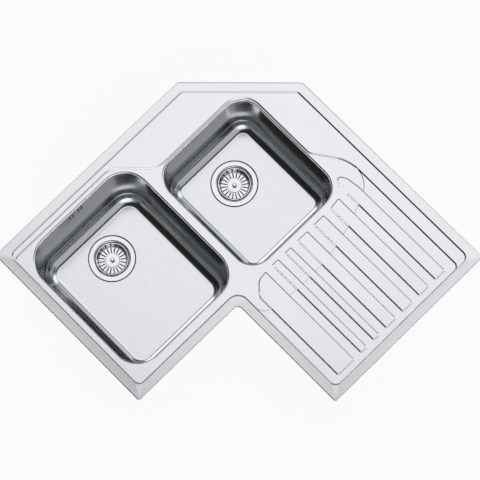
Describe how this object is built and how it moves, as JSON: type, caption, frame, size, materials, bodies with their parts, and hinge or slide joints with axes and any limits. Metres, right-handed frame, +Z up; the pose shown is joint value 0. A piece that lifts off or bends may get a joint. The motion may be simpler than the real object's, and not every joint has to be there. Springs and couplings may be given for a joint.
{
  "type": "corner kitchen sink",
  "caption": "L-shaped stainless steel corner sink with two bowls, lift-out basket strainers, overflow and a ribbed drainer, dropped into a worktop.",
  "frame": {"origin": "on the worktop plane under the sealing strip, half way along the cut-off back corner", "axes": "+X along the drainer leg away from the kitchen corner, -Y along the bowl leg away from the corner, +Z up"},
  "size_m": [0.83, 0.83, 0.2688],
  "materials": {
    "satin_steel": "fine satin pressed stainless steel",
    "strainer_steel": "bright pressed stainless steel",
    "polished_steel": "polished turned stainless steel",
    "black_rubber": "moulded black rubber",
    "waste_plastic": "moulded white polypropylene",
    "seal_foam": "closed-cell foam strip",
    "sound_pad": "rough sound-deadening sheet",
    "zinc_steel": "zinc-plated pressed steel"
  },
  "bodies": {
    "sink": {"deck_and_drainer": "satin_steel", "main_bowl": "satin_steel", "second_bowl": "satin_steel", "main_strainer_cup": "strainer_steel", "main_clamp_screw": "polished_steel", "main_flange_gasket": "black_rubber", "main_body_gasket": "black_rubber", "main_waste_body": "waste_plastic", "second_strainer_cup": "strainer_steel", "second_clamp_screw": "polished_steel", "second_flange_gasket": "black_rubber", "second_body_gasket": "black_rubber", "second_waste_body": "waste_plastic", "overflow_gasket": "black_rubber", "port_washer": "black_rubber", "overflow_housing": "waste_plastic", "overflow_pipe": "waste_plastic", "port_nut": "waste_plastic", "overflow_screw": "polished_steel", "sealing_strip": "seal_foam", "main_bowl_pad": "sound_pad", "second_bowl_pad": "sound_pad", "drainer_pad": "sound_pad", "clip_brackets": "zinc_steel", "clip_screws": "zinc_steel"},
    "main_basket_body": {"main_basket": "strainer_steel", "main_basket_knob": "polished_steel", "main_basket_seal": "black_rubber"},
    "second_basket_body": {"second_basket": "strainer_steel", "second_basket_knob": "polished_steel", "second_basket_seal": "black_rubber"},
    "clip_claw_1_body": {"clip_claw_1": "zinc_steel"},
    "clip_claw_2_body": {"clip_claw_2": "zinc_steel"},
    "clip_claw_3_body": {"clip_claw_3": "zinc_steel"},
    "clip_claw_4_body": {"clip_claw_4": "zinc_steel"},
    "clip_claw_5_body": {"clip_claw_5": "zinc_steel"},
    "clip_claw_6_body": {"clip_claw_6": "zinc_steel"},
    "clip_claw_7_body": {"clip_claw_7": "zinc_steel"},
    "clip_claw_8_body": {"clip_claw_8": "zinc_steel"},
    "clip_claw_9_body": {"clip_claw_9": "zinc_steel"},
    "clip_claw_10_body": {"clip_claw_10": "zinc_steel"}
  },
  "joints": [
    {"name": "main_basket_lift", "type": "slide", "parent": "sink", "child": "main_basket_body", "axis": [0, 0, 1], "range_m": [0, 0.23]},
    {"name": "second_basket_lift", "type": "slide", "parent": "sink", "child": "second_basket_body", "axis": [0, 0, 1], "range_m": [0, 0.21]},
    {"name": "claw_swing_1", "type": "hinge", "parent": "sink", "child": "clip_claw_1_body", "pos_m": [0.23064, 0.09486, -0.048], "axis": [0, 0, -1], "range_deg": [0, 90]},
    {"name": "claw_swing_2", "type": "hinge", "parent": "sink", "child": "clip_claw_2_body", "pos_m": [0.57564, 0.09486, -0.048], "axis": [0, 0, -1], "range_deg": [0, 90]},
    {"name": "claw_swing_3", "type": "hinge", "parent": "sink", "child": "clip_claw_3_body", "pos_m": [0.69614, -0.13564, -0.048], "axis": [0, 0, -1], "range_deg": [0, 90]},
    {"name": "claw_swing_4", "type": "hinge", "parent": "sink", "child": "clip_claw_4_body", "pos_m": [0.63564, -0.36614, -0.048], "axis": [0, 0, -1], "range_deg": [0, 90]},
    {"name": "claw_swing_5", "type": "hinge", "parent": "sink", "child": "clip_claw_5_body", "pos_m": [0.47064, -0.36614, -0.048], "axis": [0, 0, -1], "range_deg": [0, 90]},
    {"name": "claw_swing_6", "type": "hinge", "parent": "sink", "child": "clip_claw_6_body", "pos_m": [0.36614, -0.47064, -0.048], "axis": [0, 0, -1], "range_deg": [0, 90]},
    {"name": "claw_swing_7", "type": "hinge", "parent": "sink", "child": "clip_claw_7_body", "pos_m": [0.36614, -0.63564, -0.048], "axis": [0, 0, -1], "range_deg": [0, 90]},
    {"name": "claw_swing_8", "type": "hinge", "parent": "sink", "child": "clip_claw_8_body", "pos_m": [0.13564, -0.69614, -0.048], "axis": [0, 0, -1], "range_deg": [0, 90]},
    {"name": "claw_swing_9", "type": "hinge", "parent": "sink", "child": "clip_claw_9_body", "pos_m": [-0.09486, -0.57564, -0.048], "axis": [0, 0, -1], "range_deg": [0, 90]},
    {"name": "claw_swing_10", "type": "hinge", "parent": "sink", "child": "clip_claw_10_body", "pos_m": [-0.09486, -0.23064, -0.048], "axis": [0, 0, -1], "range_deg": [0, 90]}
  ]
}
